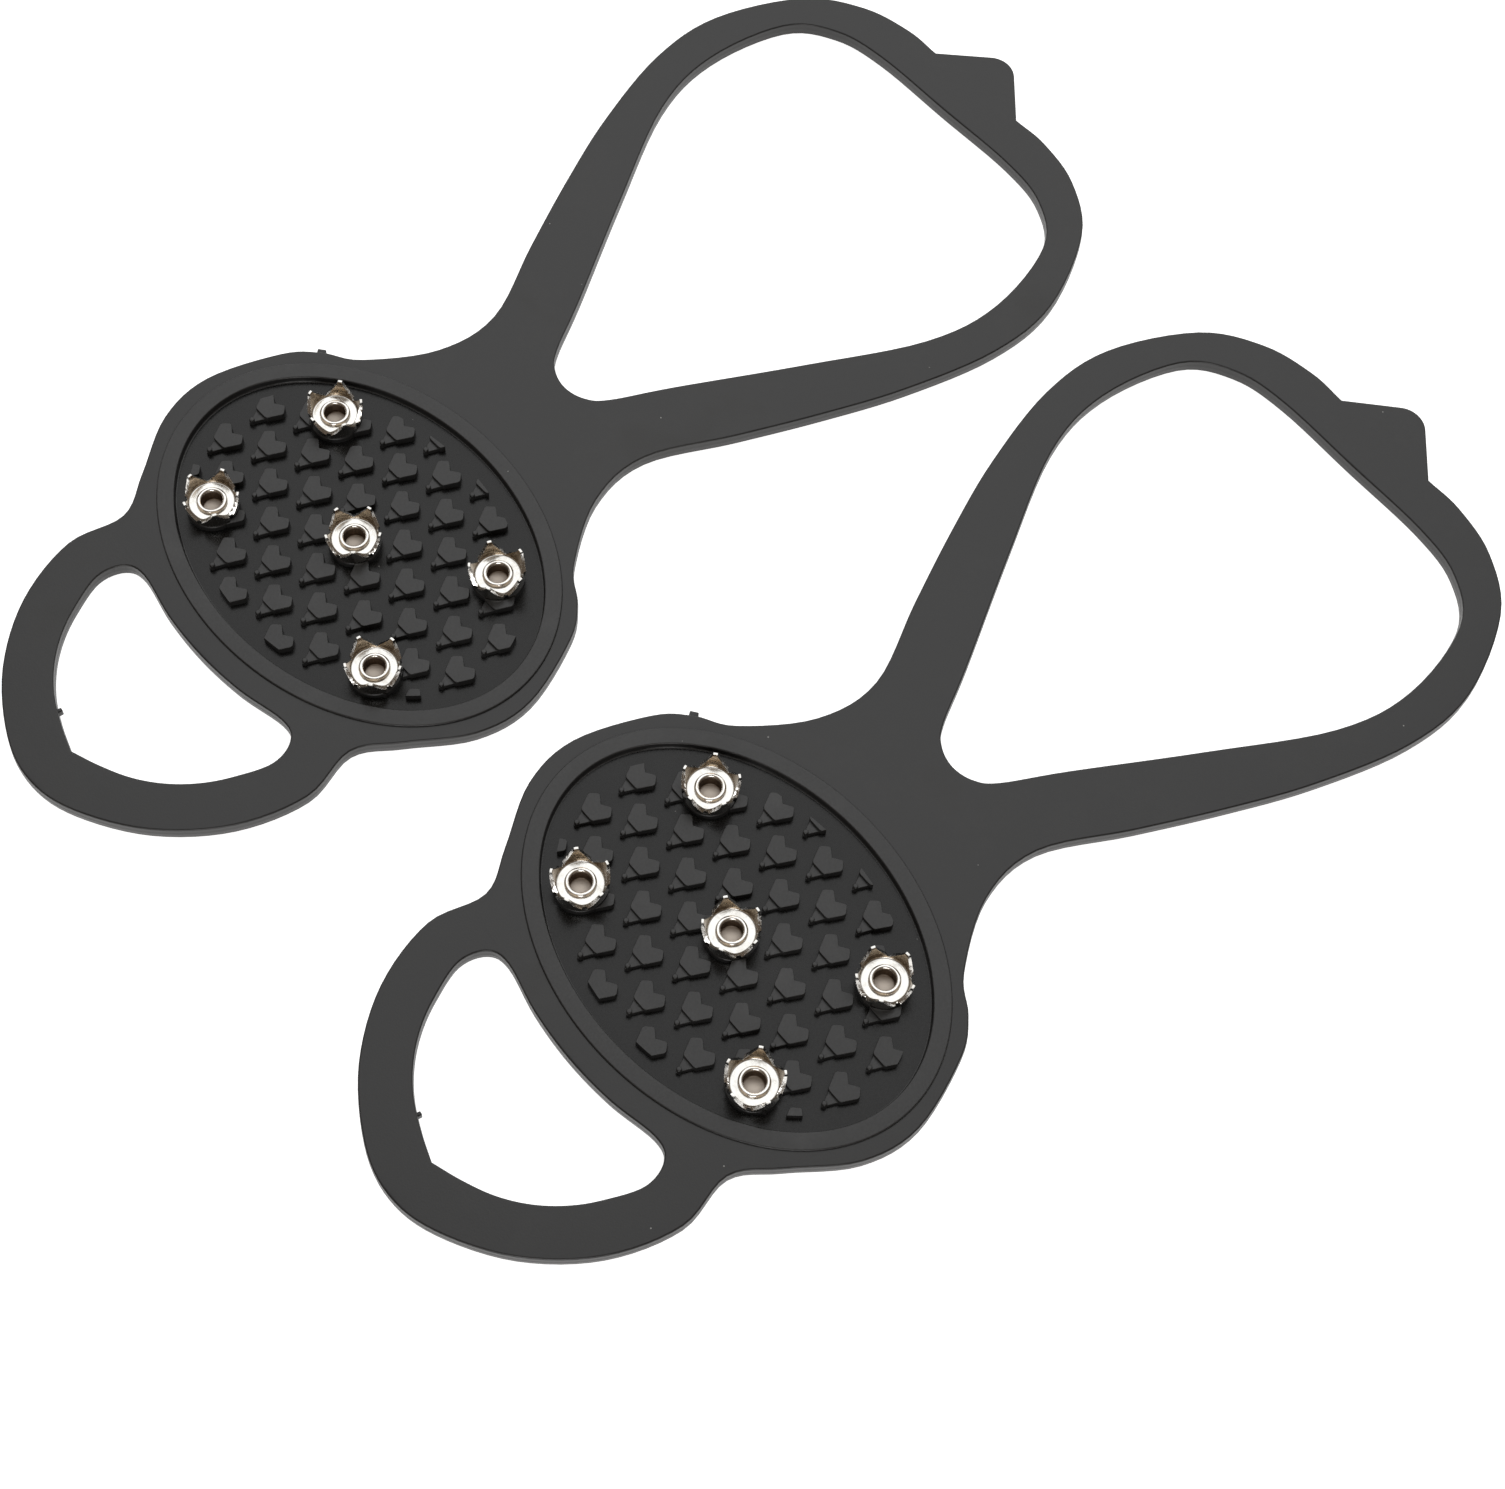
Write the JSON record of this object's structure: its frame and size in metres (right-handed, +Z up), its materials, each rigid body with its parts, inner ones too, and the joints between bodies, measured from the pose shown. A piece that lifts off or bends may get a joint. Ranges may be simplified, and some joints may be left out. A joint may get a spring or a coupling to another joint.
{
  "type": "shoe ice cleats",
  "caption": "Pair of flat rubber pull-on ice cleats for shoes, each with a toe loop, a heel loop and toothed steel crowns riveted through a ball-of-foot pad.",
  "frame": {"origin": "centre of the pair's footprint, on the surface that the cleats lie on", "axes": "+Z up, the way the studs point; +Y towards the toes; +X to the right, so the right-hand cleat is at +X"},
  "size_m": [0.2088, 0.246, 0.0079],
  "materials": {
    "rubber": "matte moulded black rubber, faint bloom, glossier on moulded edges",
    "crown_steel": "bright nickel-plated stamped steel",
    "rivet_steel": "bright nickel-plated tubular rivet, duller inside"
  },
  "bodies": {
    "left_sole": {"left_sole": "rubber", "left_crown_centre": "crown_steel", "left_crown_front_left": "crown_steel", "left_crown_front_right": "crown_steel", "left_crown_rear_left": "crown_steel", "left_crown_rear_right": "crown_steel", "left_rivet_centre": "rivet_steel", "left_rivet_front_left": "rivet_steel", "left_rivet_front_right": "rivet_steel", "left_rivet_rear_left": "rivet_steel", "left_rivet_rear_right": "rivet_steel"},
    "left_toe_loop": {"left_toe_loop": "rubber"},
    "left_heel_loop": {"left_heel_loop": "rubber"},
    "right_sole": {"right_sole": "rubber", "right_crown_centre": "crown_steel", "right_crown_front_left": "crown_steel", "right_crown_front_right": "crown_steel", "right_crown_rear_left": "crown_steel", "right_crown_rear_right": "crown_steel", "right_rivet_centre": "rivet_steel", "right_rivet_front_left": "rivet_steel", "right_rivet_front_right": "rivet_steel", "right_rivet_rear_left": "rivet_steel", "right_rivet_rear_right": "rivet_steel"},
    "right_toe_loop": {"right_toe_loop": "rubber"},
    "right_heel_loop": {"right_heel_loop": "rubber"}
  },
  "joints": [
    {"name": "left_toe_loop_bend", "type": "hinge", "parent": "left_sole", "child": "left_toe_loop", "pos_m": [-0.05064, 0.08697, 0.0015], "axis": [-0.9996, 0.0279, 0], "range_deg": [-90, 90], "stiffness_Nm_per_rad": 0.02},
    {"name": "left_heel_loop_bend", "type": "hinge", "parent": "left_sole", "child": "left_heel_loop", "pos_m": [-0.05298, 0.003, 0.0015], "axis": [0.9996, -0.0279, 0], "range_deg": [-90, 90], "stiffness_Nm_per_rad": 0.04},
    {"name": "right_toe_loop_bend", "type": "hinge", "parent": "right_sole", "child": "right_toe_loop", "pos_m": [0.05064, 0.08797, 0.0015], "axis": [-0.9996, -0.0279, 0], "range_deg": [-90, 90], "stiffness_Nm_per_rad": 0.02},
    {"name": "right_heel_loop_bend", "type": "hinge", "parent": "right_sole", "child": "right_heel_loop", "pos_m": [0.05298, 0.004, 0.0015], "axis": [0.9996, 0.0279, 0], "range_deg": [-90, 90], "stiffness_Nm_per_rad": 0.04},
    {"name": "right_cleat_lift", "type": "slide", "parent": "left_sole", "child": "right_sole", "axis": [0, 0, 1], "range_m": [0, 0.1]}
  ]
}
